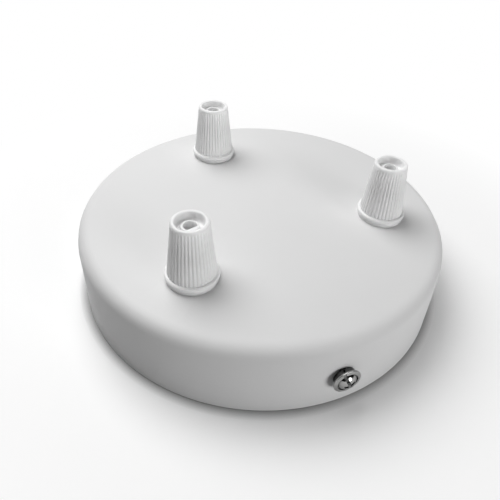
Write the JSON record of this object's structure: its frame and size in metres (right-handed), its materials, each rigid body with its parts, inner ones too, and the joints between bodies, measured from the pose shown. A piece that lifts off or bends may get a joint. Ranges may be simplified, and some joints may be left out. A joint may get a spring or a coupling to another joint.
{
  "type": "electrical ceiling rose",
  "caption": "Round white metal ceiling rose with fluted screw-down cord grips on its face, screwed at its side to a ceiling strap with terminals.",
  "frame": {"origin": "centre of the cup's open rim, in the ceiling's plane", "axes": "+Z from the ceiling to the cords along the cup's axis, Y through the two side screws"},
  "size_m": [0.12, 0.1274, 0.0452],
  "materials": {
    "white_powder_coat": "matt fine-textured powder coat",
    "white_plastic": "moulded, semi-gloss",
    "nickel_steel": "bright nickel plate",
    "spring_steel": "dull plated spring steel",
    "zinc_steel": "zinc plate",
    "terminal_plastic": "satin polyamide",
    "brass": "plain turned brass"
  },
  "bodies": {
    "rose": {"canopy": "white_powder_coat", "bracket": "zinc_steel", "terminal_block": "terminal_plastic", "block_screws": "zinc_steel", "cord_grip_base_1": "white_plastic", "base_washer_1": "zinc_steel", "base_nut_1": "zinc_steel", "terminal_insert_1": "brass", "cord_grip_base_2": "white_plastic", "base_washer_2": "zinc_steel", "base_nut_2": "zinc_steel", "terminal_insert_2": "brass", "cord_grip_base_3": "white_plastic", "base_washer_3": "zinc_steel", "base_nut_3": "zinc_steel", "terminal_insert_3": "brass"},
    "collet_1": {"cord_grip_collet_1": "white_plastic"},
    "cap_1": {"cord_grip_cap_1": "white_plastic"},
    "collet_2": {"cord_grip_collet_2": "white_plastic"},
    "cap_2": {"cord_grip_cap_2": "white_plastic"},
    "collet_3": {"cord_grip_collet_3": "white_plastic"},
    "cap_3": {"cord_grip_cap_3": "white_plastic"},
    "side_washer_1": {"side_washer_1": "spring_steel"},
    "side_screw_1": {"side_screw_1": "nickel_steel"},
    "side_washer_2": {"side_washer_2": "spring_steel"},
    "side_screw_2": {"side_screw_2": "nickel_steel"},
    "earth_washer": {"earth_washer": "zinc_steel"},
    "earth_screw": {"earth_screw": "nickel_steel"},
    "terminal_screw_1": {"terminal_screw_1": "nickel_steel"},
    "terminal_screw_2": {"terminal_screw_2": "nickel_steel"},
    "terminal_screw_3": {"terminal_screw_3": "nickel_steel"},
    "terminal_screw_4": {"terminal_screw_4": "nickel_steel"},
    "terminal_screw_5": {"terminal_screw_5": "nickel_steel"},
    "terminal_screw_6": {"terminal_screw_6": "nickel_steel"}
  },
  "joints": [
    {"name": "collet_1_rise", "type": "slide", "parent": "rose", "child": "collet_1", "axis": [0, 0, 1], "range_m": [0, 0.007]},
    {"name": "cap_1_turn", "type": "hinge", "parent": "collet_1", "child": "cap_1", "pos_m": [-0.00516, 0.03916, 0.036], "axis": [0, 0, 1], "range_deg": [0, 2521]},
    {"name": "collet_2_rise", "type": "slide", "parent": "rose", "child": "collet_2", "axis": [0, 0, 1], "range_m": [0, 0.007]},
    {"name": "cap_2_turn", "type": "hinge", "parent": "collet_2", "child": "cap_2", "pos_m": [-0.03134, -0.02405, 0.036], "axis": [0, 0, 1], "range_deg": [0, 2521]},
    {"name": "collet_3_rise", "type": "slide", "parent": "rose", "child": "collet_3", "axis": [0, 0, 1], "range_m": [0, 0.007]},
    {"name": "cap_3_turn", "type": "hinge", "parent": "collet_3", "child": "cap_3", "pos_m": [0.03649, -0.01512, 0.036], "axis": [0, 0, 1], "range_deg": [0, 2521]},
    {"name": "side_washer_1_slide", "type": "slide", "parent": "rose", "child": "side_washer_1", "axis": [0, -1, 0], "range_m": [0, 0.0042]},
    {"name": "side_screw_1_turn", "type": "hinge", "parent": "side_washer_1", "child": "side_screw_1", "pos_m": [0, -0.06, 0.0115], "axis": [0, -1, 0], "range_deg": [0, 2161]},
    {"name": "side_washer_2_slide", "type": "slide", "parent": "rose", "child": "side_washer_2", "axis": [0, 1, 0], "range_m": [0, 0.0042]},
    {"name": "side_screw_2_turn", "type": "hinge", "parent": "side_washer_2", "child": "side_screw_2", "pos_m": [0, 0.06, 0.0115], "axis": [0, 1, 0], "range_deg": [0, 2161]},
    {"name": "earth_washer_slide", "type": "slide", "parent": "rose", "child": "earth_washer", "axis": [0, 0, 1], "range_m": [0, 0.0028]},
    {"name": "earth_screw_turn", "type": "hinge", "parent": "earth_washer", "child": "earth_screw", "pos_m": [0, -0.0145, 0.004], "axis": [0, 0, 1], "range_deg": [0, 1441]},
    {"name": "terminal_screw_1_turn", "type": "hinge", "parent": "rose", "child": "terminal_screw_1", "pos_m": [-0.01, 0.0109, 0.008], "axis": [0, 0, 1], "range_deg": [-1800, 0]},
    {"name": "terminal_screw_2_turn", "type": "hinge", "parent": "rose", "child": "terminal_screw_2", "pos_m": [-0.01, 0.0181, 0.008], "axis": [0, 0, 1], "range_deg": [-1800, 0]},
    {"name": "terminal_screw_3_turn", "type": "hinge", "parent": "rose", "child": "terminal_screw_3", "pos_m": [0, 0.0109, 0.008], "axis": [0, 0, 1], "range_deg": [-1800, 0]},
    {"name": "terminal_screw_4_turn", "type": "hinge", "parent": "rose", "child": "terminal_screw_4", "pos_m": [0, 0.0181, 0.008], "axis": [0, 0, 1], "range_deg": [-1800, 0]},
    {"name": "terminal_screw_5_turn", "type": "hinge", "parent": "rose", "child": "terminal_screw_5", "pos_m": [0.01, 0.0109, 0.008], "axis": [0, 0, 1], "range_deg": [-1800, 0]},
    {"name": "terminal_screw_6_turn", "type": "hinge", "parent": "rose", "child": "terminal_screw_6", "pos_m": [0.01, 0.0181, 0.008], "axis": [0, 0, 1], "range_deg": [-1800, 0]}
  ],
  "couplings": [
    {"joint": "cap_1_turn", "follows": "collet_1_rise", "rad_per_m": 6283.2},
    {"joint": "cap_2_turn", "follows": "collet_2_rise", "rad_per_m": 6283.2},
    {"joint": "cap_3_turn", "follows": "collet_3_rise", "rad_per_m": 6283.2},
    {"joint": "side_screw_1_turn", "follows": "side_washer_1_slide", "rad_per_m": 8976},
    {"joint": "side_screw_2_turn", "follows": "side_washer_2_slide", "rad_per_m": 8976},
    {"joint": "earth_screw_turn", "follows": "earth_washer_slide", "rad_per_m": 8976}
  ]
}
